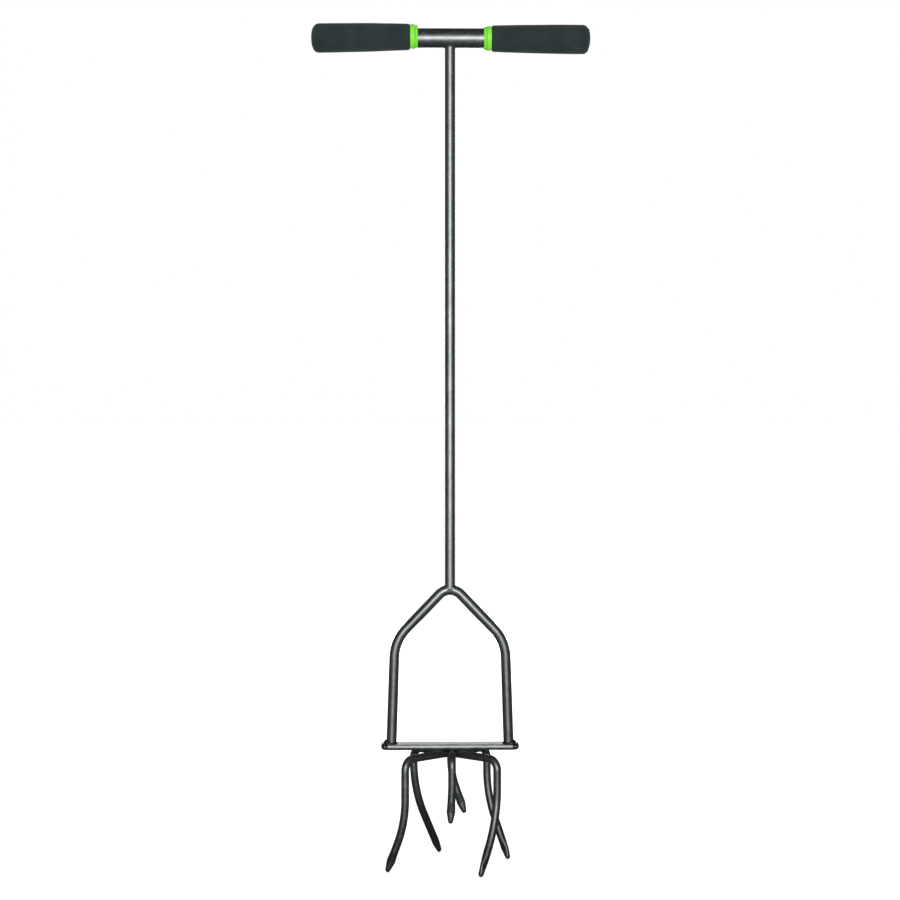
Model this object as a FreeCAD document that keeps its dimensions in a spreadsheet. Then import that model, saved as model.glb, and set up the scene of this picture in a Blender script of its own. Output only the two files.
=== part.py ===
import FreeCAD, Part
import math
import os
import Sketcher

# Hand twist tiller: a T handle on a long shaft, a bent rod hoop that the foot
# fits through, a flat step plate, and four long and two short curved tines.
# Millimetres, +Z up, the tool standing on its tine points.  The origin is on the
# ground at the shaft's axis, and -Y is the front.

SIZES = {
    # Handle
    "handle_height": 906.7,      # ground to the crossbar's axis
    "pipe_od": 21.3,             # crossbar tube
    "pipe_wall": 2.0,
    "bare_span": 72.0,           # bare tube between the two collars
    "collar_width": 8.5,
    "collar_wall": 2.6,
    "collar_round": 2.2,
    "grip_length": 108.0,
    "grip_neck_wall": 3.7,       # foam thickness beside the collar
    "grip_outer_wall": 5.3,      # foam thickness at the outer end
    "grip_end_round": 8.5,
    "grip_neck_round": 1.5,
    "grip_end_wall": 6.5,        # foam that closes the end
    "sleeve_fit": 0.05,          # radial clearance of grip and collar on the tube
    "plug_flange": 2.0,          # cap that closes the tube's end
    "plug_stem": 14.0,
    "plug_wall": 1.6,
    "plug_fit": 0.05,            # radial clearance of the stem in the tube
    # Shaft
    "shaft_dia": 11.1,
    # Foot hoop, sizes to the rod's centreline
    "hoop_rod_dia": 11.1,
    "hoop_foot_half": 64.5,      # shaft axis to a leg where it stands on the plate
    "hoop_apex_height": 169.3,   # plate top to the top of the bend under the shaft
    "hoop_leg_lean": 1.9,        # degrees from upright
    "hoop_slope": 46.3,          # degrees from level
    "hoop_shoulder_bend": 47.0,
    "hoop_apex_bend": 16.5,
    "hoop_trim": 3.0,            # rod left over below the plate top, cut flush
    # Step plate
    "plate_length": 149.0,
    "plate_width": 25.0,
    "plate_thick": 6.0,
    "plate_corner": 7.0,
    "plate_edge": 0.6,
    "plate_top": 133.3,          # ground to the step surface
    # Tines
    "tine_dia": 8.6,
    "arm_gap": 0.3,              # weld metal between the arms and the plate
    "hub_gap": 0.4,              # between the backs of the two bent rods
    "hub_bend": 12.0,            # centreline radius of the bend at the hub
    "knee_bend": 12.0,           # centreline radius where an arm turns down
    "leg_bend": 135.0,           # centreline radius of the long curve of an outer tine
    "inner_leg_bend": 100.0,
    "spread_angle": 45.0,        # plan angle of the outer arms from the plate's length
    "inner_offset": 1.6,         # an inner arm's sideways offset from the middle
    "inner_tip_height": 50.0,
    # Each tine's own bends: reach is from the hub to the leg along the arm, sweep how
    # far the point travels sideways from the leg's top, splay how many degrees that
    # way is turned outward from straight across the arm, and lean the degrees from
    # upright at the point.
    "front_left_reach": 69.9,
    "front_left_sweep": 19.2,
    "front_left_splay": 33.0,
    "front_left_lean": 20.5,
    "front_right_reach": 70.9,
    "front_right_sweep": 28.6,
    "front_right_splay": 5.5,
    "front_right_lean": 26.7,
    "rear_left_reach": 56.5,
    "rear_left_sweep": 38.4,
    "rear_left_splay": -3.4,
    "rear_left_lean": 27.8,
    "rear_right_reach": 59.6,
    "rear_right_sweep": 28.8,
    "rear_right_splay": 6.6,
    "rear_right_lean": 23.3,
    "inner_front_reach": 32.0,
    "inner_front_sweep": 1.6,
    "inner_front_splay": 0.0,
    "inner_front_lean": 2.5,
    "inner_rear_reach": 32.0,
    "inner_rear_sweep": 14.5,
    "inner_rear_splay": 0.0,
    "inner_rear_lean": 19.0,
    # Forged points
    "point_taper": 9.5,          # widest section to the nose
    "point_neck": 11.0,          # round rod to the widest section
    "point_width": 9.6,
    "point_thick": 5.6,
    "nose_radius": 2.9,
    # Weld beads
    "bead_throat": 2.4,          # how far a bead stands off round a rod
    "leg_bead_throat": 4.0,
    "leg_bead_height": 4.5,
    "leg_bead_lip": 0.4,
    "hub_bead_cover": 1.4,       # how far the bead runs out over the inner arms' ends
    "hub_bead_depth": 5.0,
}

doc = FreeCAD.newDocument("twist_tiller")
sheet = doc.addObject("Spreadsheet::Sheet", "dims")
for row, (alias, value) in enumerate(SIZES.items(), start=1):
    sheet.set(f"A{row}", str(value))
    sheet.setAlias(f"A{row}", alias)
doc.recompute()

X = FreeCAD.Vector(1, 0, 0)
Z = FreeCAD.Vector(0, 0, 1)
subparts = []


def size(alias):
    """A driving dimension, read from the sheet."""
    return float(getattr(sheet, alias))


def subpart(feature, label):
    """Name a finished piece and put it on the list of pieces to write."""
    feature.Label = label
    subparts.append(feature)
    return feature


def bind(feature, **expressions):
    """Bind properties to the sheet; a double underscore stands for a dot."""
    for path, expression in expressions.items():
        feature.setExpression(path.replace("__", "."), expression)
    return feature


# ---------------------------------------------------------------- sketch helpers

def origin_plane(body, role):
    return next(plane for plane in body.Origin.OriginFeatures if plane.Role == role)


def new_sketch(body, name, role):
    sketch = body.newObject("Sketcher::SketchObject", name)
    sketch.AttachmentSupport = (origin_plane(body, role), [""])
    sketch.MapMode = "FlatFace"
    return sketch


def pin_coordinate(sketch, kind, axis, line, name, expression):
    """Hold a line's start on an axis, or at a bound distance from the other one."""
    if expression == "0":
        sketch.addConstraint(Sketcher.Constraint("PointOnObject", line, 1, axis))
        return
    place = sketch.Geometry[line].StartPoint
    value = place.x if kind == "DistanceX" else place.y
    index = sketch.addConstraint(Sketcher.Constraint(kind, -1, 1, line, 1, value))
    sketch.renameConstraint(index, name)
    sketch.setExpression(f"Constraints.{name}", expression)


def polygon_sketch(body, name, role, corners):
    """A closed outline whose corners are pairs of sheet expressions."""
    sketch = new_sketch(body, name, role)
    count = len(corners)
    start = []
    for index in range(count):
        turn = 2 * math.pi * index / count
        start.append(FreeCAD.Vector(30 + 10 * math.cos(turn), 30 + 10 * math.sin(turn), 0))
    for index in range(count):
        sketch.addGeometry(Part.LineSegment(start[index], start[(index + 1) % count]))
    for index in range(count):
        sketch.addConstraint(
            Sketcher.Constraint("Coincident", index, 2, (index + 1) % count, 1))
    for index, (across, up) in enumerate(corners):
        pin_coordinate(sketch, "DistanceX", -2, index, f"x{index}", across)
        pin_coordinate(sketch, "DistanceY", -1, index, f"y{index}", up)
    return sketch


def turned_body(name, corners, role, axis):
    """A body turned from an outline about one of its sketch's axes."""
    body = doc.addObject("PartDesign::Body", name)
    sketch = polygon_sketch(body, f"{name}_outline", role, corners)
    turning = body.newObject("PartDesign::Revolution", f"{name}_turning")
    turning.Profile = sketch
    turning.ReferenceAxis = (sketch, [axis])
    turning.Angle = 360
    doc.recompute()
    return body


def circles_at(shape, along, radius, axis=X):
    """Names of a shape's full circular edges at one place along an axis."""
    names = []
    for index, edge in enumerate(shape.Edges, start=1):
        round_edge = isinstance(edge.Curve, Part.Circle)
        if round_edge and abs(edge.Curve.Radius - radius) < 0.01:
            if abs(edge.Curve.Center.dot(axis) - along) < 0.01:
                names.append(f"Edge{index}")
    return names


def rounded(body, name, edges, expression):
    fillet = body.newObject("PartDesign::Fillet", name)
    fillet.Base = (body.Group[-2], edges)
    fillet.setExpression("Radius", expression)
    doc.recompute()
    return fillet


# ------------------------------------------------------------------- the handle

GRIP_START = "(dims.bare_span / 2 + dims.collar_width)"
PIPE_HALF = f"({GRIP_START} + dims.grip_length - dims.grip_end_wall - dims.plug_flange)"
PIPE_RADIUS = "dims.pipe_od / 2"
SLEEVE_RADIUS = "(dims.pipe_od / 2 + dims.sleeve_fit)"
sleeve_radius = size("pipe_od") / 2 + size("sleeve_fit")
grip_start = size("bare_span") / 2 + size("collar_width")
grip_end = grip_start + size("grip_length")


def make_crossbar():
    bore = "dims.pipe_od / 2 - dims.pipe_wall"
    body = turned_body("crossbar", [
        ("0", bore),
        (f"2 * {PIPE_HALF}", bore),
        (f"2 * {PIPE_HALF}", PIPE_RADIUS),
        ("0", PIPE_RADIUS),
    ], "XZ_Plane", "H_Axis")
    bind(body, Placement__Base__x=f"-{PIPE_HALF}", Placement__Base__z="dims.handle_height")
    return subpart(body, "crossbar_tube")


def put_on_side(body, side, label):
    """Seat a piece drawn for the right hand on either end of the crossbar."""
    if side == "left":
        body.Placement = FreeCAD.Placement(FreeCAD.Vector(), FreeCAD.Rotation(Z, 180))
    bind(body, Placement__Base__z="dims.handle_height")
    return subpart(body, f"{side}_{label}")


def make_collar(side):
    body = turned_body(f"{side}_collar", [
        ("dims.bare_span / 2", SLEEVE_RADIUS),
        (GRIP_START, SLEEVE_RADIUS),
        (GRIP_START, f"{SLEEVE_RADIUS} + dims.collar_wall"),
        ("dims.bare_span / 2", f"{SLEEVE_RADIUS} + dims.collar_wall"),
    ], "XZ_Plane", "H_Axis")
    rim = circles_at(body.Shape, size("bare_span") / 2, sleeve_radius + size("collar_wall"))
    rounded(body, f"{side}_collar_round", rim, "dims.collar_round")
    return put_on_side(body, side, "collar")


def make_grip(side):
    outer_end = f"{GRIP_START} + dims.grip_length"
    bore_end = f"{outer_end} - dims.grip_end_wall"
    body = turned_body(f"{side}_grip", [
        (GRIP_START, SLEEVE_RADIUS),
        (bore_end, SLEEVE_RADIUS),
        (bore_end, "0"),
        (outer_end, "0"),
        (outer_end, f"{SLEEVE_RADIUS} + dims.grip_outer_wall"),
        (GRIP_START, f"{SLEEVE_RADIUS} + dims.grip_neck_wall"),
    ], "XZ_Plane", "H_Axis")
    end_rim = circles_at(body.Shape, grip_end, sleeve_radius + size("grip_outer_wall"))
    rounded(body, f"{side}_grip_end", end_rim, "dims.grip_end_round")
    neck_rim = circles_at(body.Shape, grip_start, sleeve_radius + size("grip_neck_wall"))
    rounded(body, f"{side}_grip_neck", neck_rim, "dims.grip_neck_round")
    return put_on_side(body, side, "grip")


def make_end_plug(side):
    stem = "dims.pipe_od / 2 - dims.pipe_wall - dims.plug_fit"
    hollow = f"{stem} - dims.plug_wall"
    body = turned_body(f"{side}_plug", [
        (f"{PIPE_HALF} - dims.plug_stem", hollow),
        (PIPE_HALF, hollow),
        (PIPE_HALF, "0"),
        (f"{PIPE_HALF} + dims.plug_flange", "0"),
        (f"{PIPE_HALF} + dims.plug_flange", PIPE_RADIUS),
        (PIPE_HALF, PIPE_RADIUS),
        (PIPE_HALF, stem),
        (f"{PIPE_HALF} - dims.plug_stem", stem),
    ], "XZ_Plane", "H_Axis")
    return put_on_side(body, side, "end_plug")


# ------------------------------------------------------------------- step plate

def make_plate():
    body = doc.addObject("PartDesign::Body", "plate")
    half_long = "dims.plate_length / 2"
    half_wide = "dims.plate_width / 2"
    sketch = polygon_sketch(body, "plate_outline", "XY_Plane", [
        (half_long, half_wide),
        (f"-{half_long}", half_wide),
        (f"-{half_long}", f"-{half_wide}"),
        (half_long, f"-{half_wide}"),
    ])
    pad = body.newObject("PartDesign::Pad", "plate_pad")
    pad.Profile = sketch
    pad.setExpression("Length", "dims.plate_thick")
    doc.recompute()
    corners = []
    for index, edge in enumerate(body.Shape.Edges, start=1):
        if abs(edge.tangentAt(edge.FirstParameter).z) > 0.99:
            corners.append(f"Edge{index}")
    rounded(body, "plate_corners", corners, "dims.plate_corner")
    rim = []
    for index, edge in enumerate(body.Shape.Edges, start=1):
        if abs(edge.tangentAt(edge.FirstParameter).z) < 0.01:
            rim.append(f"Edge{index}")
    rounded(body, "plate_rim", rim, "dims.plate_edge")
    bind(body, Placement__Base__z="dims.plate_top - dims.plate_thick")
    return subpart(body, "foot_plate")


# -------------------------------------------------------------------- foot hoop

def hoop_path(body):
    """Half hoop centreline: leg, shoulder, slope and half the bend at the top.

    The solver finds the tangent points from the feet, the lean, the slope and the
    two bend radii; the numbers below only start it near the answer.
    """
    lean = math.radians(size("hoop_leg_lean"))
    slope = math.radians(size("hoop_slope"))
    shoulder = size("hoop_shoulder_bend")
    apex = size("hoop_apex_bend")
    foot_x = size("hoop_foot_half") + size("hoop_trim") * math.tan(lean)
    apex_z = size("hoop_apex_height")
    apex_centre = FreeCAD.Vector(0, apex_z - apex, 0)
    slope_top = apex_centre + apex * FreeCAD.Vector(math.sin(slope), math.cos(slope), 0)
    leg_away = FreeCAD.Vector(math.cos(lean), math.sin(lean), 0)
    slope_away = FreeCAD.Vector(math.sin(slope), math.cos(slope), 0)
    foot = FreeCAD.Vector(foot_x, -size("hoop_trim"), 0)
    # The shoulder's centre lies one bend radius inside both straight runs.
    leg_level = foot.dot(leg_away) - shoulder
    slope_level = slope_top.dot(slope_away) - shoulder
    spread = leg_away.x * slope_away.y - leg_away.y * slope_away.x
    centre = FreeCAD.Vector(
        (leg_level * slope_away.y - slope_level * leg_away.y) / spread,
        (slope_level * leg_away.x - leg_level * slope_away.x) / spread, 0)
    leg_top = centre + leg_away * shoulder
    slope_foot = centre + slope_away * shoulder

    sketch = new_sketch(body, "hoop_path", "XZ_Plane")
    sketch.setExpression(".AttachmentOffset.Base.y", "dims.plate_top")
    through = FreeCAD.Vector(0, 0, 1)
    sketch.addGeometry(Part.LineSegment(foot, leg_top))
    sketch.addGeometry(Part.ArcOfCircle(Part.Circle(centre, through, shoulder), lean,
                                        math.pi / 2 - slope))
    sketch.addGeometry(Part.LineSegment(slope_foot, slope_top))
    sketch.addGeometry(Part.ArcOfCircle(Part.Circle(apex_centre, through, apex),
                                        math.pi / 2 - slope, math.pi / 2))
    for constraint in (
            Sketcher.Constraint("Tangent", 0, 2, 1, 1),
            Sketcher.Constraint("Tangent", 1, 2, 2, 1),
            Sketcher.Constraint("Tangent", 2, 2, 3, 1),
            Sketcher.Constraint("PointOnObject", 3, 3, -2),
            Sketcher.Constraint("PointOnObject", 3, 2, -2)):
        sketch.addConstraint(constraint)
    upright = -2
    driving = [
        (Sketcher.Constraint("DistanceX", -1, 1, 0, 1, foot.x), "foot_x",
         "dims.hoop_foot_half + dims.hoop_trim * tan(dims.hoop_leg_lean * 1 deg)"),
        (Sketcher.Constraint("DistanceY", 0, 1, -1, 1, -foot.y), "foot_z", "dims.hoop_trim"),
        (Sketcher.Constraint("Radius", 1, shoulder), "shoulder", "dims.hoop_shoulder_bend"),
        (Sketcher.Constraint("Radius", 3, apex), "apex", "dims.hoop_apex_bend"),
        (Sketcher.Constraint("DistanceY", -1, 1, 3, 2, apex_z), "apex_z",
         "dims.hoop_apex_height"),
        (Sketcher.Constraint("Angle", upright, 0, lean), "lean",
         "dims.hoop_leg_lean * 1 deg"),
        (Sketcher.Constraint("Angle", -1, 2, math.pi - slope), "slope",
         "180 deg - dims.hoop_slope * 1 deg"),
    ]
    for constraint, name, expression in driving:
        index = sketch.addConstraint(constraint)
        sketch.renameConstraint(index, name)
        sketch.setExpression(f"Constraints.{name}", expression)
    return sketch


def make_hoop():
    body = doc.addObject("PartDesign::Body", "hoop")
    path = hoop_path(body)
    section = new_sketch(body, "hoop_section", "YZ_Plane")
    section.setExpression(".AttachmentOffset.Base.y",
                          "dims.plate_top + dims.hoop_apex_height")
    section.addGeometry(Part.Circle(FreeCAD.Vector(), Z, size("hoop_rod_dia") / 2))
    section.addConstraint(Sketcher.Constraint("Coincident", 0, 3, -1, 1))
    section.addConstraint(Sketcher.Constraint("Radius", 0, size("hoop_rod_dia") / 2))
    section.renameConstraint(1, "rod_radius")
    section.setExpression("Constraints.rod_radius", "dims.hoop_rod_dia / 2")
    doc.recompute()
    pipe = body.newObject("PartDesign::AdditivePipe", "hoop_half")
    pipe.Profile = section
    pipe.Spine = (path, [f"Edge{index}" for index in range(1, 5)])
    doc.recompute()
    trim = polygon_sketch(body, "hoop_trim_outline", "XY_Plane", [
        ("0", "dims.hoop_rod_dia"),
        ("0", "-dims.hoop_rod_dia"),
        ("dims.hoop_foot_half + 2 * dims.hoop_rod_dia", "-dims.hoop_rod_dia"),
        ("dims.hoop_foot_half + 2 * dims.hoop_rod_dia", "dims.hoop_rod_dia"),
    ])
    trim.setExpression(".AttachmentOffset.Base.z", "dims.plate_top")
    full_volume = body.Shape.Volume
    cut = body.newObject("PartDesign::Pocket", "hoop_foot_cut")
    cut.Profile = trim
    cut.setExpression("Length", "2 * dims.hoop_rod_dia")
    doc.recompute()
    if body.Shape.Volume > full_volume - 1:
        raise RuntimeError("the cut that ends the hoop's legs removes nothing")
    mirror = body.newObject("PartDesign::Mirrored", "hoop_both_halves")
    mirror.Originals = [pipe, cut]
    mirror.MirrorPlane = (origin_plane(body, "YZ_Plane"), [""])
    body.Tip = mirror
    doc.recompute()
    return subpart(body, "foot_hoop")


# ------------------------------------------------------------------- bent rods

def rounded_path(corners, radii):
    """A wire of straight runs joined by tangent arcs at its inner corners."""
    edges = []
    start = corners[0]
    for before, corner, after, radius in zip(corners, corners[1:], corners[2:], radii):
        come = (corner - before).normalize()
        leave = (after - corner).normalize()
        turn = come.getAngle(leave)
        back = radius * math.tan(turn / 2)
        arc_start = corner - come * back
        arc_end = corner + leave * back
        bisector = (leave - come).normalize()
        centre = corner + bisector * (radius / math.cos(turn / 2))
        arc_middle = centre - bisector * radius
        edges.append(Part.LineSegment(start, arc_start).toShape())
        edges.append(Part.Arc(arc_start, arc_middle, arc_end).toShape())
        start = arc_end
    edges.append(Part.LineSegment(start, corners[-1]).toShape())
    return Part.Wire(edges)


def rod_along(corners, radii):
    wire = rounded_path(corners, radii)
    way = (corners[1] - corners[0]).normalize()
    section = Part.Wire(Part.makeCircle(size("tine_dia") / 2, corners[0], way))
    return wire.makePipeShell([section], True, False)


def forged_point(nose, way, wide):
    """The flattened, tapered end of a tine, its nose centred on a point.

    Drawn up its own Z from the nose, with X across the flattened width.
    """
    def oval(width, thick, up):
        ellipse = Part.Ellipse(FreeCAD.Vector(0, 0, up), width / 2, thick / 2)
        return Part.Wire(ellipse.toShape())

    def circle(radius, up):
        return Part.Wire(Part.makeCircle(radius, FreeCAD.Vector(0, 0, up), Z))

    widest = size("point_taper")
    neck = widest + size("point_neck")
    sections = []
    for degrees in (20, 50, 90):
        turn = math.radians(degrees)
        sections.append(circle(size("nose_radius") * math.sin(turn),
                               -size("nose_radius") * math.cos(turn)))
    sections.append(oval(size("point_width"), size("point_thick"), widest))
    sections.append(circle(size("tine_dia") / 2, neck))
    shape = Part.makeLoft(sections, True, True)
    up = way * -1
    shape.Placement = FreeCAD.Placement(nose, FreeCAD.Rotation(wide, up.cross(wide), up))
    return shape


def plan_direction(degrees):
    return FreeCAD.Vector(math.cos(math.radians(degrees)), math.sin(math.radians(degrees)), 0)


def leg_corners(hub, degrees, tine, nose_height):
    """Corners of one tine from its hub end: knee, the long curve's corner, nose.

    The leg drops from the knee and then leans sideways, clockwise seen from above
    and turned outward by the tine's splay.
    """
    arm = plan_direction(degrees)
    sideways = plan_direction(degrees - 90 + size(f"{tine}_splay"))
    sweep = size(f"{tine}_sweep")
    knee = hub + arm * size(f"{tine}_reach")
    drop = hub.z - nose_height
    lower_drop = sweep / math.tan(math.radians(size(f"{tine}_lean")))
    corner = knee - Z * (drop - lower_drop)
    nose = knee - Z * drop + sideways * sweep
    return [knee, corner, nose], sideways


def shortened(corners):
    """The corners with the last run cut back to where the forged point begins."""
    way = (corners[-1] - corners[-2]).normalize()
    return corners[:-1] + [corners[-1] - way * (size("point_taper") + size("point_neck"))]


def point_for(corners, sideways):
    way = (corners[-1] - corners[-2]).normalize()
    wide = (sideways - way * sideways.dot(way)).normalize()
    return forged_point(corners[-1], way, wide)


arm_height = (size("plate_top") - size("plate_thick") - size("arm_gap")
              - size("tine_dia") / 2)


def hub_corner_y(facing):
    """Where a pair's two arms would meet if their bend at the hub were sharp."""
    half_turn = math.radians(90 - size("spread_angle"))
    bend_depth = size("hub_bend") * (1 / math.sin(half_turn) - 1)
    return facing * (size("tine_dia") / 2 + size("hub_gap") / 2 - bend_depth)


def tine_pair(label, facing, pair):
    """Two outer tines bent from one rod that turns a corner under the plate."""
    hub = FreeCAD.Vector(0, hub_corner_y(facing), arm_height)
    angles = (180 - facing * size("spread_angle"), facing * size("spread_angle"))
    left, left_side = leg_corners(hub, angles[0], f"{pair}_left", size("nose_radius"))
    right, right_side = leg_corners(hub, angles[1], f"{pair}_right", size("nose_radius"))
    leg_radii = [size("knee_bend"), size("leg_bend")]
    corners = shortened(left)[::-1] + [hub] + shortened(right)
    rod = rod_along(corners, leg_radii[::-1] + [size("hub_bend")] + leg_radii)
    shape = rod.fuse([point_for(left, left_side), point_for(right, right_side)])
    feature = doc.addObject("Part::Feature", label)
    feature.Shape = shape.removeSplitter()
    return subpart(feature, label)


def inner_start_y(facing):
    """Where an inner tine's arm ends, just clear of the crook of the rod beside it."""
    spread = math.radians(size("spread_angle"))
    half_rod = size("tine_dia") / 2
    crook = (size("inner_offset") + half_rod) * math.tan(spread) + half_rod / math.cos(spread)
    return hub_corner_y(facing) + facing * (crook + size("hub_gap"))


def inner_tine(label, facing, tine):
    """A short tine, its arm butted into the crook of the rod beside it."""
    hub = FreeCAD.Vector(size("inner_offset"), 0, arm_height)
    corners, sideways = leg_corners(hub, 90 * facing, tine,
                                    size("inner_tip_height") + size("nose_radius"))
    start = FreeCAD.Vector(hub.x, inner_start_y(facing), arm_height)
    rod = rod_along([start] + shortened(corners), [size("knee_bend"), size("inner_leg_bend")])
    feature = doc.addObject("Part::Feature", label)
    feature.Shape = rod.fuse(point_for(corners, sideways)).removeSplitter()
    return subpart(feature, label)


# ------------------------------------------------------------ shaft and welds

def cut_by(feature, tools, label):
    """The feature with each tool taken out of it, so that they meet face to face."""
    for index, tool in enumerate(tools):
        cut = doc.addObject("Part::Cut", f"{label}_less_{index}")
        cut.Base = feature
        cut.Tool = tool
        feature = cut
    doc.recompute()
    return feature


def make_shaft(crossbar_solid, hoop):
    blank = doc.addObject("Part::Cylinder", "shaft_blank")
    bind(blank, Radius="dims.shaft_dia / 2",
         Height="dims.handle_height - dims.plate_top - dims.hoop_apex_height",
         Placement__Base__z="dims.plate_top + dims.hoop_apex_height")
    return subpart(cut_by(blank, [crossbar_solid, hoop], "shaft"), "main_shaft")


def make_bead(label, tools, foot_radius, top_radius, height, x="0", z="0"):
    """A weld bead round a rod: a cone with the pieces it joins taken out."""
    cone = doc.addObject("Part::Cone", f"{label}_cone")
    bind(cone, Radius1=foot_radius, Radius2=top_radius, Height=height,
         Placement__Base__x=x, Placement__Base__z=z)
    return subpart(cut_by(cone, tools, label), label)


crossbar_tube = make_crossbar()
for hand in ("left", "right"):
    make_collar(hand)
    make_grip(hand)
    make_end_plug(hand)
foot_plate = make_plate()
foot_hoop = make_hoop()

# The crossbar as a full bar, so that nothing welded to it reaches into its bore.
crossbar_solid = doc.addObject("Part::Cylinder", "crossbar_full")
crossbar_solid.Placement = FreeCAD.Placement(
    FreeCAD.Vector(), FreeCAD.Rotation(FreeCAD.Vector(0, 1, 0), 90))
bind(crossbar_solid, Radius=PIPE_RADIUS, Height="dims.bare_span",
     Placement__Base__x="-dims.bare_span / 2", Placement__Base__z="dims.handle_height")
doc.recompute()

main_shaft = make_shaft(crossbar_solid, foot_hoop)
front_tines = tine_pair("front_tine_rod", -1, "front")
rear_tines = tine_pair("rear_tine_rod", 1, "rear")
inner_front = inner_tine("inner_front_tine", -1, "inner_front")
inner_rear = inner_tine("inner_rear_tine", 1, "inner_rear")

SHAFT_BEAD = "dims.shaft_dia / 2 + dims.bead_throat"
make_bead("crossbar_weld", [crossbar_solid, main_shaft],
          "dims.shaft_dia / 2", SHAFT_BEAD, "2 * dims.bead_throat",
          z="dims.handle_height - dims.pipe_od / 2 - dims.bead_throat")
make_bead("hoop_apex_weld", [foot_hoop, main_shaft],
          SHAFT_BEAD, "dims.shaft_dia / 2", "2 * dims.bead_throat",
          z="dims.plate_top + dims.hoop_apex_height + dims.hoop_rod_dia / 2 - dims.bead_throat")
for hand, sign in (("left", "-"), ("right", "")):
    make_bead(f"{hand}_leg_weld", [foot_hoop],
              "dims.hoop_rod_dia / 2 + dims.leg_bead_throat",
              "dims.hoop_rod_dia / 2 + dims.leg_bead_lip",
              "dims.leg_bead_height", x=f"{sign}dims.hoop_foot_half", z="dims.plate_top")
# The bead at the hub runs out past the ends of the inner arms.
HUB_LEAN = "(dims.spread_angle * 1 deg)"
HUB_BEAD_RADIUS = (
    "dims.tine_dia / 2 + 1.5 * dims.hub_gap"
    f" - dims.hub_bend * (1 / cos{HUB_LEAN} - 1)"
    f" + (dims.inner_offset + dims.tine_dia / 2) * tan{HUB_LEAN}"
    f" + dims.tine_dia / 2 / cos{HUB_LEAN} + dims.hub_bead_cover")
make_bead("hub_weld", [front_tines, rear_tines, inner_front, inner_rear],
          f"{HUB_BEAD_RADIUS} - dims.hub_bead_depth", HUB_BEAD_RADIUS,
          "dims.hub_bead_depth",
          z="dims.plate_top - dims.plate_thick - dims.hub_bead_depth")

# -------------------------------------------------------------- check and write

doc.recompute()
for feature in doc.Objects:
    if "Invalid" in feature.State or "Error" in feature.State:
        raise RuntimeError(f"{feature.Name} failed: {feature.State}")
for feature in subparts:
    shape = feature.Shape
    if shape.isNull() or not shape.isValid() or not shape.Solids:
        raise RuntimeError(f"{feature.Label} has no valid solid")

os.makedirs("parts", exist_ok=True)
for feature in subparts:
    feature.Shape.exportStep(f"parts/{feature.Label}.step")
    box = feature.Shape.BoundBox
    print(f"{feature.Label:18s} solids {len(feature.Shape.Solids)}"
          f"  volume {feature.Shape.Volume:10.1f}"
          f"  x {box.XMin:8.2f} {box.XMax:8.2f}"
          f"  y {box.YMin:8.2f} {box.YMax:8.2f}"
          f"  z {box.ZMin:8.2f} {box.ZMax:8.2f}")
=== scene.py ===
import math

import bpy
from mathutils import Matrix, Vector, noise


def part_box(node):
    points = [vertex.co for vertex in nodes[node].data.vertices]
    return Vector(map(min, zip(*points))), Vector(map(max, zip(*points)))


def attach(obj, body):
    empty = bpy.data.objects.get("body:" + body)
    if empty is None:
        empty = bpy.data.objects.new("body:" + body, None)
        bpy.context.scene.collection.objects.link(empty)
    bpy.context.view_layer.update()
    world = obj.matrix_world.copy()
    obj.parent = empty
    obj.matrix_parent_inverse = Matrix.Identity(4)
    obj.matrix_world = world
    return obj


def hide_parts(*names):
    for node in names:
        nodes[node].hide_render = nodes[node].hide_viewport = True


# A hand twist tiller standing on its tine points: enamelled steel rods, a step plate,
# foam grips with lime green collars, and the weld beads that join the steel.
# Everything is in metres in the CAD frame: +Z up, -Y the front.

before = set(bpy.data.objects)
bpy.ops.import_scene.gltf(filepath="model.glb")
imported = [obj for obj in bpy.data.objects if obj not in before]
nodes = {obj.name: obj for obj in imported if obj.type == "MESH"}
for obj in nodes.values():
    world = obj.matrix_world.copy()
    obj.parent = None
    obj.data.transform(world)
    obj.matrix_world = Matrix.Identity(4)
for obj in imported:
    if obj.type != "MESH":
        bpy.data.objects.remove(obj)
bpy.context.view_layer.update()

MM = 0.001
HANDS = (("left", -1), ("right", 1))

plate_low, plate_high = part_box("foot_plate")
hoop_low, hoop_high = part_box("foot_hoop")
shaft_low, shaft_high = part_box("main_shaft")
tube_low, tube_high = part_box("crossbar_tube")
HOOP_RADIUS = (hoop_high.y - hoop_low.y) / 2
SHAFT_RADIUS = (shaft_high.x - shaft_low.x) / 2
TUBE_RADIUS = (tube_high.z - tube_low.z) / 2
TUBE_AXIS = (tube_high.z + tube_low.z) / 2
LEG_X = hoop_high.x - HOOP_RADIUS
APEX_BEND = 16.5 * MM        # radius of the rod's centre line in the hoop's top bend
APEX_CENTRE = hoop_high.z - HOOP_RADIUS - APEX_BEND


# ------------------------------------------------------------------ node helpers

def new_material(name):
    material = bpy.data.materials.new(name)
    material.use_nodes = True
    tree = material.node_tree
    tree.nodes.clear()
    output = tree.nodes.new("ShaderNodeOutputMaterial")
    shader = tree.nodes.new("ShaderNodeBsdfPrincipled")
    tree.links.new(shader.outputs["BSDF"], output.inputs["Surface"])
    return material, tree, shader


def add_node(tree, kind, inputs=None, **settings):
    """A node with its settings and inputs; an input may be a value or a socket."""
    node = tree.nodes.new(kind)
    for key, value in settings.items():
        setattr(node, key, value)
    for key, value in (inputs or {}).items():
        if isinstance(value, bpy.types.NodeSocket):
            tree.links.new(value, node.inputs[key])
        else:
            node.inputs[key].default_value = value
    return node


def noise_at(tree, position, scale, detail, roughness):
    return add_node(tree, "ShaderNodeTexNoise", {
        "Vector": position, "Scale": scale, "Detail": detail, "Roughness": roughness,
    }).outputs["Fac"]


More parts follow.
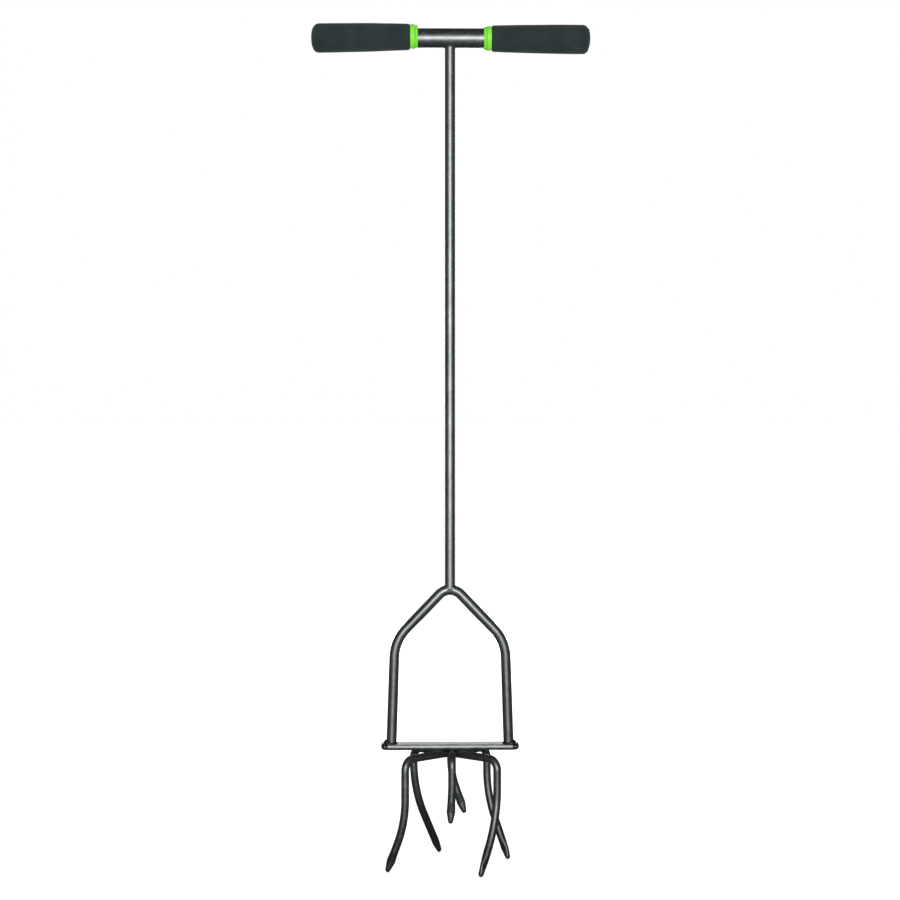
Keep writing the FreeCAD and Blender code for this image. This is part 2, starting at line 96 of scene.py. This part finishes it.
def ramp(tree, factor, stops):
    node = add_node(tree, "ShaderNodeValToRGB", {"Fac": factor})
    elements = node.color_ramp.elements
    while len(elements) < len(stops):
        elements.new(0.5)
    for element, (place, colour) in zip(elements, stops):
        element.position = place
        element.color = (*colour, 1.0)
    return node.outputs["Color"]


def span(tree, factor, low, high, to_low=0.0, to_high=1.0):
    return add_node(tree, "ShaderNodeMapRange", {
        "Value": factor, "From Min": low, "From Max": high,
        "To Min": to_low, "To Max": to_high,
    }).outputs["Result"]


def arithmetic(tree, operation, first, second):
    return add_node(tree, "ShaderNodeMath", {0: first, 1: second},
                    operation=operation).outputs[0]


def bump(tree, height, strength, distance, normal=None):
    inputs = {"Height": height, "Strength": strength, "Distance": distance}
    if normal is not None:
        inputs["Normal"] = normal
    return add_node(tree, "ShaderNodeBump", inputs).outputs["Normal"]


def object_position(tree):
    return add_node(tree, "ShaderNodeTexCoord").outputs["Object"]


# --------------------------------------------------------------------- materials

TIP_HEIGHTS = (0.02, 0.095)  # painted shade: between these heights the tines' colour darkens toward their points
TIP_SHADE = 0.50
ARM_HEIGHTS = (0.20, 0.29)   # and between these the colour darkens below the hoop's slopes, also painted shade
ARM_SHADE = 0.73
SCUFFED_SLOPES = (0.6, 0.95)  # how far up a face looks before it is scuffed
SCUFF_ROUGHNESS = 0.22


def enamel(name, dark, mid, light, roughness=0.42, unevenness=0.16,
           worn_top=False, painted_low_shade=False):
    """Baked enamel with fine metal flake, which runs a little uneven over the bar.

    worn_top roughens the faces that look up; painted_low_shade paints shade on the tool's lower
    parts by darkening their colour.
    """
    material, tree, shader = new_material(name)
    place = object_position(tree)
    runs = noise_at(tree, place, scale=260.0, detail=3.0, roughness=0.55)
    flake = noise_at(tree, place, scale=1500.0, detail=2.0, roughness=0.6)
    drift = noise_at(tree, place, scale=60.0, detail=3.0, roughness=0.5)
    mottle = arithmetic(tree, "ADD", arithmetic(tree, "ADD", flake, runs), drift)
    colour = ramp(tree, span(tree, mottle, 1.1, 1.9), [
        (0.0, dark), (0.5, mid), (1.0, light),
    ])
    # Painted shade: the colour is darkened by height, toward the tine points and below the
    # hoop's slopes.
    if painted_low_shade:
        height = add_node(tree, "ShaderNodeSeparateXYZ", {"Vector": place}).outputs["Z"]
        painted_shade_kept = arithmetic(tree, "MULTIPLY",
                          span(tree, height, *TIP_HEIGHTS, TIP_SHADE, 1.0),
                          span(tree, height, *ARM_HEIGHTS, ARM_SHADE, 1.0))
        colour = add_node(tree, "ShaderNodeVectorMath", {"Vector": colour, "Scale": painted_shade_kept},
                          operation="SCALE").outputs["Vector"]
    tree.links.new(colour, shader.inputs["Base Color"])
    shader.inputs["Metallic"].default_value = 0.97
    shader.inputs["IOR"].default_value = 1.5
    rough = span(tree, runs, 0.3, 0.7, roughness - 0.04, roughness + 0.05)
    if worn_top:
        upward = add_node(tree, "ShaderNodeSeparateXYZ", {
            "Vector": add_node(tree, "ShaderNodeNewGeometry").outputs["Normal"],
        }).outputs["Z"]
        scuffed = span(tree, upward, *SCUFFED_SLOPES, 0.0, SCUFF_ROUGHNESS)
        rough = arithmetic(tree, "ADD", rough, scuffed)
    tree.links.new(rough, shader.inputs["Roughness"])
    uneven = bump(tree, runs, strength=unevenness, distance=0.4 * MM)
    sparkle = bump(tree, flake, strength=0.10, distance=0.06 * MM, normal=uneven)
    tree.links.new(sparkle, shader.inputs["Normal"])
    return material


def foam(name):
    """Closed-cell foam skin: matte, fine-grained, with faint rub marks."""
    material, tree, shader = new_material(name)
    place = object_position(tree)
    grain = noise_at(tree, place, scale=1700.0, detail=4.0, roughness=0.65)
    cells = add_node(tree, "ShaderNodeTexVoronoi", {
        "Vector": place, "Scale": 1300.0, "Randomness": 1.0,
    }).outputs["Distance"]
    drift = noise_at(tree, place, scale=55.0, detail=3.0, roughness=0.55)
    mixed = arithmetic(tree, "ADD", grain, drift)
    colour = ramp(tree, span(tree, mixed, 0.7, 1.3), [
        (0.0, (0.0092, 0.0158, 0.0158)), (0.5, (0.0128, 0.0206, 0.0203)),
        (1.0, (0.0180, 0.0272, 0.0266)),
    ])
    tree.links.new(colour, shader.inputs["Base Color"])
    shader.inputs["Roughness"].default_value = 0.88
    shader.inputs["Specular IOR Level"].default_value = 0.15
    shader.inputs["Sheen Weight"].default_value = 0.06
    shader.inputs["Sheen Roughness"].default_value = 0.5
    skin = bump(tree, cells, strength=0.35, distance=0.12 * MM)
    grainy = bump(tree, grain, strength=0.3, distance=0.1 * MM, normal=skin)
    tree.links.new(grainy, shader.inputs["Normal"])
    return material


def moulded_plastic(name, deep, bright, roughness, gloss=0.5):
    """Moulded plastic with a soft satin skin."""
    material, tree, shader = new_material(name)
    place = object_position(tree)
    drift = noise_at(tree, place, scale=120.0, detail=3.0, roughness=0.5)
    colour = ramp(tree, drift, [(0.3, deep), (0.7, bright)])
    tree.links.new(colour, shader.inputs["Base Color"])
    shader.inputs["IOR"].default_value = 1.48
    shader.inputs["Specular IOR Level"].default_value = gloss
    fine = noise_at(tree, place, scale=1900.0, detail=3.0, roughness=0.6)
    tree.links.new(span(tree, fine, 0.3, 0.7, roughness - 0.04, roughness + 0.06),
                   shader.inputs["Roughness"])
    satin = bump(tree, fine, strength=0.12, distance=0.06 * MM)
    tree.links.new(satin, shader.inputs["Normal"])
    return material


def plain_floor(name):
    """Matt pale floor with a faint glow, so that it meets the white studio without a line."""
    material, tree, shader = new_material(name)
    place = object_position(tree)
    drift = noise_at(tree, place, scale=3.0, detail=2.0, roughness=0.5)
    colour = ramp(tree, drift, [(0.2, (0.86, 0.86, 0.86)), (0.8, (0.90, 0.90, 0.90))])
    tree.links.new(colour, shader.inputs["Base Color"])
    shader.inputs["Roughness"].default_value = 0.9
    shader.inputs["Specular IOR Level"].default_value = 0.1
    shader.inputs["Emission Color"].default_value = (1.0, 1.0, 1.0, 1.0)
    shader.inputs["Emission Strength"].default_value = 0.16
    return material


# The steel's enamel, with painted shade darkening its colour toward the tool's lower parts.
ENAMEL = enamel("enamel_grey", (0.150, 0.166, 0.164), (0.205, 0.224, 0.222),
                (0.270, 0.290, 0.288), painted_low_shade=True)
# A darker copy of the same enamel for the step plate: painted shade that dims the highlights on
# its faces.
SHADED_STEP_ENAMEL = enamel("step_plate_enamel_painted_shade", (0.115, 0.122, 0.122), (0.170, 0.180, 0.180),
                     (0.230, 0.240, 0.240), roughness=0.40, unevenness=0.40,
                     worn_top=True)
WELD_ENAMEL = enamel("weld_enamel", (0.040, 0.046, 0.046), (0.070, 0.078, 0.077),
                     (0.115, 0.125, 0.124), roughness=0.38, unevenness=0.5)
FOAM = foam("grip_foam_skin")
LIME = moulded_plastic("collar_lime", (0.130, 0.50, 0.020), (0.160, 0.55, 0.032),
                       roughness=0.45, gloss=0.30)
BLACK = moulded_plastic("plug_black", (0.010, 0.010, 0.010), (0.016, 0.016, 0.016),
                        roughness=0.55)


def dress(node, material):
    """Put a material on a CAD node."""
    mesh = nodes[node].data
    mesh.materials.clear()
    mesh.materials.append(material)


for steel_node in ("crossbar_tube", "main_shaft", "foot_hoop", "front_tine_rod",
                   "rear_tine_rod", "inner_front_tine", "inner_rear_tine"):
    dress(steel_node, ENAMEL)
for plug_node in ("left_end_plug", "right_end_plug"):
    dress(plug_node, BLACK)


# ------------------------------------------------------------------ mesh helpers

RING_STEPS = 96              # points round a grip or collar


def mesh_piece(name, points, faces, material):
    """A smooth-shaded mesh that rides on the tool's one body."""
    mesh = bpy.data.meshes.new(name)
    mesh.from_pydata([tuple(point) for point in points], [], faces)
    mesh.validate()
    mesh.polygons.foreach_set("use_smooth", [True] * len(mesh.polygons))
    mesh.materials.append(material)
    piece = bpy.data.objects.new(name, mesh)
    bpy.context.scene.collection.objects.link(piece)
    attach(piece, "root")
    return piece


def ring_faces(rings, steps, closed):
    """Quads between rings of equal length, joined end to end when closed."""
    faces = []
    for ring in range(rings if closed else rings - 1):
        after = (ring + 1) % rings
        for step in range(steps):
            turn = (step + 1) % steps
            faces.append((ring * steps + step, ring * steps + turn,
                          after * steps + turn, after * steps + step))
    return faces


def capped_faces(rings, steps):
    """Quads between rings, and a flat face over each end."""
    last = (rings - 1) * steps
    return ring_faces(rings, steps, False) + [tuple(range(steps - 1, -1, -1)),
                                              tuple(range(last, last + steps))]


def turned_points(profile, axis_height, hand, shape):
    """Rings of a profile turned about the crossbar's axis, each point then moved by shape."""
    points = []
    for along, radius in profile:
        for step in range(RING_STEPS):
            turn = 2 * math.pi * step / RING_STEPS
            point = Vector((hand * along, radius * math.cos(turn),
                            axis_height + hand * radius * math.sin(turn)))
            points.append(shape(point, radius, axis_height))
    return points


def rising_quarter(low, top, radius, steps=8):
    """A quarter round that climbs from a flat end up to an outer surface."""
    quarter = []
    for step in range(steps + 1):
        turn = math.pi / 2 * step / steps
        quarter.append((low + radius * (1 - math.cos(turn)),
                        top - radius * (1 - math.sin(turn))))
    return quarter


# ---------------------------------------------------------------- grips, collars

GRIP_SHOULDER = 2.4 * MM     # round of the foam's edge behind the collar
GRIP_SHOULDER_STEPS = 8
GRIP_NECK_DROP = 1.6 * MM    # how much thinner the neck is than the outer end
GRIP_FILL_POWER = 2.2        # how soon the neck swells to the full size
GRIP_BODY_STEPS = 46
GRIP_DOME = 9.0 * MM         # length of the blunt outer end
GRIP_DOME_POWER = 2 / 2.4    # a superellipse, flatter across the end than a round dome
GRIP_DOME_STEPS = 20
GRIP_TIP = 0.02 * MM         # the dome closes to a dot of this radius
BORE_PLAY = 0.05 * MM
TUBE_BORE = (tube_high.y - tube_low.y) / 2 + BORE_PLAY

# How far the foam's outside sits above the bar's axis at its inner and outer ends,
# and how far both grips and their collars sit along the bar.
GRIP_RISE = {"left": (1.3 * MM, -0.3 * MM), "right": (-0.4 * MM, -1.1 * MM)}
GRIP_SHIFT = Vector((0.9 * MM, 0, 0))
COLLAR_RISE = {"left": 1.6 * MM, "right": -0.3 * MM}

FOAM_INSIDE = 11.5 * MM      # nearer the axis than this, the foam fits the bar truly
COLLAR_INSIDE = 12.0 * MM
SWELL, SWELL_SCALE = 0.16 * MM, 38.0      # broad unevenness of the foam's wall
PIMPLE, PIMPLE_SCALE = 0.05 * MM, 160.0   # and a finer one


def grip_profile(low, high, neck, outer, bore, bore_end):
    """The closed outline of a foam grip, from its bore round to its blunt end."""
    outline = [(low, bore)]
    outline += rising_quarter(low, neck, GRIP_SHOULDER, GRIP_SHOULDER_STEPS)
    body_start = low + GRIP_SHOULDER
    body_end = high - GRIP_DOME
    for step in range(1, GRIP_BODY_STEPS + 1):
        share = step / GRIP_BODY_STEPS
        along = body_start + (body_end - body_start) * share
        swelling = 1 - (1 - share) ** GRIP_FILL_POWER
        outline.append((along, neck + (outer - neck) * swelling))
    for step in range(1, GRIP_DOME_STEPS + 1):
        turn = math.pi / 2 * step / GRIP_DOME_STEPS
        across = math.cos(turn) ** GRIP_DOME_POWER
        ahead = math.sin(turn) ** GRIP_DOME_POWER
        outline.append((body_end + GRIP_DOME * ahead, max(outer * across, GRIP_TIP)))
    outline.append((bore_end, GRIP_TIP))
    outline.append((bore_end, bore))
    return outline


def foam_shape(inner, outer_end, inner_rise, outer_rise):
    """Foam is never quite true: its wall is uneven, so its outside sits a little askew."""
    def shape(point, radius, axis_height):
        if radius < FOAM_INSIDE:
            return point + GRIP_SHIFT
        push = (SWELL * noise.noise(point * SWELL_SCALE)
                + PIMPLE * noise.noise(point * PIMPLE_SCALE))
        away = Vector((0, point.y, point.z - axis_height)).normalized()
        share = (abs(point.x) - inner) / (outer_end - inner)
        rise = inner_rise + (outer_rise - inner_rise) * share
        return point + away * push + Vector((0, 0, rise)) + GRIP_SHIFT
    return shape


def along_bar(node):
    """How far a node's inner and outer ends are from the middle, its radius and its height."""
    low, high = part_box(node)
    inner, outer_end = sorted((abs(low.x), abs(high.x)))
    return inner, outer_end, (high.z - low.z) / 2, (high.z + low.z) / 2


def make_grip(side, hand):
    inner, outer_end, outer, axis_height = along_bar(f"{side}_grip")
    bore_end = max(abs(corner.x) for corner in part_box(f"{side}_end_plug"))
    outline = grip_profile(inner, outer_end, outer - GRIP_NECK_DROP, outer,
                           TUBE_BORE, bore_end)
    points = turned_points(outline, axis_height, hand,
                           foam_shape(inner, outer_end, *GRIP_RISE[side]))
    piece = mesh_piece(f"{side}_foam_grip", points,
                       ring_faces(len(outline), RING_STEPS, True), FOAM)
    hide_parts(f"{side}_grip")


LIP_LENGTH = 3.0 * MM        # the thinner step, toward the bare bar
LIP_DROP = 0.8 * MM
LIP_ROUND = 1.5 * MM
LINE_WIDTH = 0.4 * MM        # the groove between the two steps
LINE_DEPTH = 0.6 * MM
LINE_SLOPE = 0.05 * MM
BODY_ROUND = 0.9 * MM
BACK_EDGE = 0.5 * MM         # small round against the foam
BACK_EDGE_STEPS = 4


def collar_profile(low, high, outer, bore):
    """A plastic ring in two steps: a lip over the bare bar, a line, and the wider body."""
    lip = outer - LIP_DROP
    lip_end = low + LIP_LENGTH
    body = lip_end + LINE_WIDTH
    outline = [(low, bore)]
    outline += rising_quarter(low, lip, LIP_ROUND)
    outline += [(lip_end, lip), (lip_end + LINE_SLOPE, lip - LINE_DEPTH),
                (body, lip - LINE_DEPTH)]
    outline += rising_quarter(body, outer, BODY_ROUND)
    for step in range(BACK_EDGE_STEPS + 1):
        turn = math.pi / 2 * step / BACK_EDGE_STEPS
        outline.append((high - BACK_EDGE + BACK_EDGE * math.sin(turn),
                        outer - BACK_EDGE * (1 - math.cos(turn))))
    outline.append((high, bore))
    return outline


def collar_shape(rise):
    """The collar's outside sits a little off the axis, as the foam behind it does."""
    def shape(point, radius, axis_height):
        lift = rise if radius > COLLAR_INSIDE else 0.0
        return point + GRIP_SHIFT + Vector((0, 0, lift))
    return shape


def make_collar(side, hand):
    inner, outer_end, outer, axis_height = along_bar(f"{side}_collar")
    outline = collar_profile(inner, outer_end, outer, TUBE_BORE)
    points = turned_points(outline, axis_height, hand, collar_shape(COLLAR_RISE[side]))
    piece = mesh_piece(f"{side}_lime_collar", points,
                       ring_faces(len(outline), RING_STEPS, True), LIME)
    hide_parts(f"{side}_collar")


for side_name, side_sign in HANDS:
    make_grip(side_name, side_sign)
    make_collar(side_name, side_sign)


# ------------------------------------------------------------------- weld beads

BEAD_STEPS = 144
BEAD_SECTION = 11            # points round a bead's cross-section
BEAD_SINK = 0.5 * MM         # how far a bead runs into what it joins
BEAD_START = -12             # degrees from flat at which its section starts
BEAD_SWEEP = 114
RIPPLE_DEPTH = 0.16
RIPPLE_MEAN = 0.6
WANDER_DEPTH = 0.16
WANDER_SCALE = 1.3
LEG_RIPPLES = 26
TOP_RIPPLES = 22

LEG_THROAT = 1.4 * MM
LEG_THROAT_EXTRA = 2.4 * MM  # more of it on the side that faces the plate's end
SLIGHT_THROAT = 0.9 * MM
PLATE_ROUND_START = 2.5 * MM  # how far in from the plate's end its top starts to round
PLATE_ROUND_SLOPE = 0.9

LUMP_INSET = 2.8 * MM        # from the plate's end to the lump's middle
LUMP_RAISE = 0.5 * MM
LUMP_REACH = 3.9 * MM
LUMP_OVERHANG = 1.2 * MM     # past the plate's front and back edges
LUMP_RINGS = 56
LUMP_STEPS = 40
LUMP_TILT = 88               # degrees at which the lump's ends are closed
LUMP_END_POWER = 0.8
LUMP_GIRTH_POWER = 0.6
LUMP_SQUARE_POWER = 0.85
LUMP_RIPPLES = 13
LUMP_RIPPLE_DEPTH = 0.05
LUMP_WANDER_DEPTH = 0.10
LUMP_WANDER_LENGTH = 4       # how many times the wander changes along it


def ripple(turn, count, seed):
    """Frozen weld-pool ripples round a bead, with some wander."""
    wave = abs(math.sin(turn * count / 2))
    around = Vector((math.cos(turn), math.sin(turn), seed))
    wander = noise.noise(around * WANDER_SCALE)
    return 1.0 + RIPPLE_DEPTH * (wave - RIPPLE_MEAN) + WANDER_DEPTH * wander


def ring_bead(name, node, centre, rod_radius, surface, upward, throat, count, seed,
              material):
    """A bead round a rod: surface(x, y) is the height of what the rod meets.

    upward is 1 where the bead stands on that surface and -1 where it hangs under it.
    """
    points = []
    for step in range(BEAD_STEPS):
        turn = 2 * math.pi * step / BEAD_STEPS
        reach = throat(turn) * ripple(turn, count, seed) + BEAD_SINK
        for part in range(BEAD_SECTION):
            out, rise = rod_radius - BEAD_SINK, -BEAD_SINK
            if part < BEAD_SECTION - 1:
                lift = math.radians(BEAD_START + BEAD_SWEEP * part / (BEAD_SECTION - 2))
                out += reach * math.cos(lift)
                rise += reach * math.sin(lift)
            x = centre.x + out * math.cos(turn)
            y = centre.y + out * math.sin(turn)
            points.append((x, y, surface(x, y) + upward * rise))
    piece = mesh_piece(name, points, ring_faces(BEAD_STEPS, BEAD_SECTION, True),
                       material)
    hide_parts(node)


def plate_surface(x, y):
    """The plate's top, rounding down over its ends."""
    beyond = max(abs(x) - (plate_high.x - PLATE_ROUND_START), 0.0)
    return plate_high.z - PLATE_ROUND_SLOPE * beyond


def hoop_top_surface(x, y):
    reach = APEX_BEND + math.sqrt(max(HOOP_RADIUS ** 2 - y * y, 0.0))
    return APEX_CENTRE + math.sqrt(max(reach * reach - x * x, 0.0))


def tube_under_surface(x, y):
    return TUBE_AXIS - math.sqrt(max(TUBE_RADIUS ** 2 - y * y, 0.0))


def leg_throat(hand):
    """Fuller on the side that faces the plate's end."""
    def throat(turn):
        outward = hand * math.cos(turn)
        return LEG_THROAT + LEG_THROAT_EXTRA * max(outward, 0.0)
    return throat


def slight_throat(turn):
    return SLIGHT_THROAT


def signed_power(value, power):
    return math.copysign(abs(value) ** power, value)


def end_lump(name, node, hand, seed):
    """Weld metal carried over one end of the plate, from front to back."""
    centre = Vector((hand * (plate_high.x - LUMP_INSET), 0,
                     (plate_low.z + plate_high.z) / 2 + LUMP_RAISE))
    reach = Vector((LUMP_REACH, plate_high.y + LUMP_OVERHANG, LUMP_REACH))
    points = []
    for ring in range(LUMP_RINGS):
        tilt = math.radians(-LUMP_TILT + 2 * LUMP_TILT * ring / (LUMP_RINGS - 1))
        along = signed_power(math.sin(tilt), LUMP_END_POWER)
        girth = signed_power(math.cos(tilt), LUMP_GIRTH_POWER)
        rippled = 1 + LUMP_RIPPLE_DEPTH * abs(math.sin(along * LUMP_RIPPLES))
        for step in range(LUMP_STEPS):
            turn = 2 * math.pi * step / LUMP_STEPS
            across = signed_power(math.cos(turn), LUMP_SQUARE_POWER)
            above = signed_power(math.sin(turn), LUMP_SQUARE_POWER)
            spot = Vector((across + seed, along * LUMP_WANDER_LENGTH, above))
            lump = girth * (rippled + LUMP_WANDER_DEPTH * noise.noise(spot))
            points.append(centre + Vector((reach.x * across * lump, reach.y * along,
                                           reach.z * above * lump)))
    faces = [face[::-1] for face in capped_faces(LUMP_RINGS, LUMP_STEPS)]
    piece = mesh_piece(name, points, faces, WELD_ENAMEL)
    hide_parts(node)


for side_name, side_sign in HANDS:
    ring_bead(f"{side_name}_leg_bead", f"{side_name}_leg_weld",
              Vector((side_sign * LEG_X, 0, 0)), HOOP_RADIUS, plate_surface, 1,
              leg_throat(side_sign), LEG_RIPPLES, seed=3.1 + side_sign,
              material=WELD_ENAMEL)
    end_lump(f"{side_name}_end_lump", f"{side_name}_leg_weld", side_sign,
             seed=5.0 + side_sign)
ring_bead("apex_bead", "hoop_apex_weld", Vector(), SHAFT_RADIUS, hoop_top_surface, 1,
          slight_throat, TOP_RIPPLES, seed=7.7, material=ENAMEL)
ring_bead("crossbar_bead", "crossbar_weld", Vector(), SHAFT_RADIUS, tube_under_surface, -1,
          slight_throat, TOP_RIPPLES, seed=12.9, material=ENAMEL)
dress("hub_weld", WELD_ENAMEL)


# ------------------------------------------------------------------- step plate

PLATE_CORNER = 7.0 * MM
PLATE_EDGE = 1.3 * MM        # rolled edge between a face and the bar's side
PLATE_CROWN = 0.35 * MM      # how far the side stands out at mid-height
PLATE_MARGIN = 0.6 * MM      # flat rim of the face inside the rolled edge
CORNER_STEPS = 14
EDGE_STEPS = 5
CROWN_STEPS = 6


def plate_ring(inset, height):
    """The bar's outline, drawn in by an inset, at a height."""
    points = []
    radius = max(PLATE_CORNER - inset, 0.0)
    for corner in range(4):
        middle = math.radians(45 + 90 * corner)
        centre_x = math.copysign(plate_high.x - PLATE_CORNER, math.cos(middle))
        centre_y = math.copysign(plate_high.y - PLATE_CORNER, math.sin(middle))
        for step in range(CORNER_STEPS + 1):
            turn = math.radians(90 * corner + 90 * step / CORNER_STEPS)
            points.append(Vector((centre_x + radius * math.cos(turn),
                                  centre_y + radius * math.sin(turn), height)))
    return points


def plate_side():
    """Inset and height of the side's rings, from the top face round to the bottom one."""
    half = (plate_high.z - plate_low.z) / 2
    middle = (plate_high.z + plate_low.z) / 2
    straight = half - PLATE_EDGE
    side = [(PLATE_EDGE + PLATE_CROWN + PLATE_MARGIN, half)]
    for step in range(EDGE_STEPS + 1):
        turn = math.pi / 2 * step / EDGE_STEPS
        side.append((PLATE_CROWN + PLATE_EDGE * (1 - math.sin(turn)),
                     straight + PLATE_EDGE * math.cos(turn)))
    for step in range(1, CROWN_STEPS):
        share = step / CROWN_STEPS
        inset = PLATE_CROWN * (1 - math.sin(math.pi / 2 * share))
        side.append((inset, straight * (1 - share)))
    lower = [(inset, -height) for inset, height in reversed(side)]
    return [(inset, middle + height) for inset, height in side + [(0.0, 0.0)] + lower]


def make_step_plate():
    rings = [plate_ring(inset, height) for inset, height in reversed(plate_side())]
    points = [point for ring in rings for point in ring]
    faces = capped_faces(len(rings), len(rings[0]))
    piece = mesh_piece("step_plate", points, faces, SHADED_STEP_ENAMEL)
    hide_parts("foot_plate")


make_step_plate()


# ------------------------------------------------------- camera, floor and light

AIM = Vector((0.0, 0.0, 0.4565))
CAMERA_DISTANCE = 2.58
CAMERA_HEIGHT = 0.530
CAMERA_AZIMUTH = math.radians(-1.1)
CAMERA_LENS = 94.0
SENSOR_WIDTH = 36.0
FLOOR_HALF = 30.0
STUDIO_WHITE = (1.0, 1.0, 1.0, 1.0)
# How bright a glossy surface finds the room, from straight down (0) to straight up (1).
ROOM_GREYS = ((0.0, 0.045), (0.42, 0.09), (0.56, 0.075), (0.72, 0.012))
# Each panel light's name, place, target, width and height in metres, and power in watts.
PANELS = (
    ("front_softbox", Vector((0.0, -2.9, 0.74)), Vector((0, 0, 0.60)), 2.1, 1.05, 70.0),
    ("back_panel", Vector((0.0, 2.6, 0.50)), Vector((0, 0, 0.13)), 1.3, 0.6, 33.0),
)


def aimed(thing, place, target):
    thing.location = place
    thing.rotation_euler = (target - place).to_track_quat("-Z", "Y").to_euler()


def add_camera():
    data = bpy.data.cameras.new("camera")
    data.lens = CAMERA_LENS
    data.sensor_width = SENSOR_WIDTH
    data.clip_end = 100.0
    camera = bpy.data.objects.new("camera", data)
    bpy.context.scene.collection.objects.link(camera)
    place = Vector((CAMERA_DISTANCE * math.sin(CAMERA_AZIMUTH),
                    -CAMERA_DISTANCE * math.cos(CAMERA_AZIMUTH), CAMERA_HEIGHT))
    aimed(camera, place, AIM)
    bpy.context.scene.camera = camera


def add_floor():
    half = FLOOR_HALF
    mesh = bpy.data.meshes.new("floor")
    mesh.from_pydata([(-half, -half, 0), (half, -half, 0), (half, half, 0), (-half, half, 0)],
                     [], [(0, 1, 2, 3)])
    mesh.materials.append(plain_floor("floor_pale"))
    floor = bpy.data.objects.new("floor", mesh)
    bpy.context.scene.collection.objects.link(floor)
    # The steel mirrors the dim room, not a sheet of white below it.
    floor.visible_glossy = False
    floor.visible_diffuse = False


def add_area(name, place, target, width, height, power):
    data = bpy.data.lights.new(name, "AREA")
    data.shape = "RECTANGLE"
    data.size = width
    data.size_y = height
    data.energy = power
    light = bpy.data.objects.new(name, data)
    light.visible_camera = False
    bpy.context.scene.collection.objects.link(light)
    aimed(light, place, target)


def add_world():
    """A white studio to the eye and to matt surfaces; gloss mirrors a dim, dark-topped room."""
    world = bpy.data.worlds.new("studio")
    world.use_nodes = True
    tree = world.node_tree
    tree.nodes.clear()
    output = tree.nodes.new("ShaderNodeOutputWorld")
    direction = add_node(tree, "ShaderNodeTexCoord").outputs["Generated"]
    height = add_node(tree, "ShaderNodeSeparateXYZ", {"Vector": direction}).outputs["Z"]
    walls = ramp(tree, span(tree, height, -1.0, 1.0),
                 [(place, (grey, grey, grey)) for place, grey in ROOM_GREYS])
    room = add_node(tree, "ShaderNodeBackground", {"Color": walls})
    studio = add_node(tree, "ShaderNodeBackground", {"Color": STUDIO_WHITE})
    path = tree.nodes.new("ShaderNodeLightPath")
    mix = add_node(tree, "ShaderNodeMixShader", {"Fac": path.outputs["Is Glossy Ray"]})
    tree.links.new(studio.outputs[0], mix.inputs[1])
    tree.links.new(room.outputs[0], mix.inputs[2])
    tree.links.new(mix.outputs[0], output.inputs["Surface"])
    bpy.context.scene.world = world


add_camera()
add_floor()
add_world()
for panel in PANELS:
    add_area(*panel)
bpy.context.scene.view_settings.view_transform = "Standard"
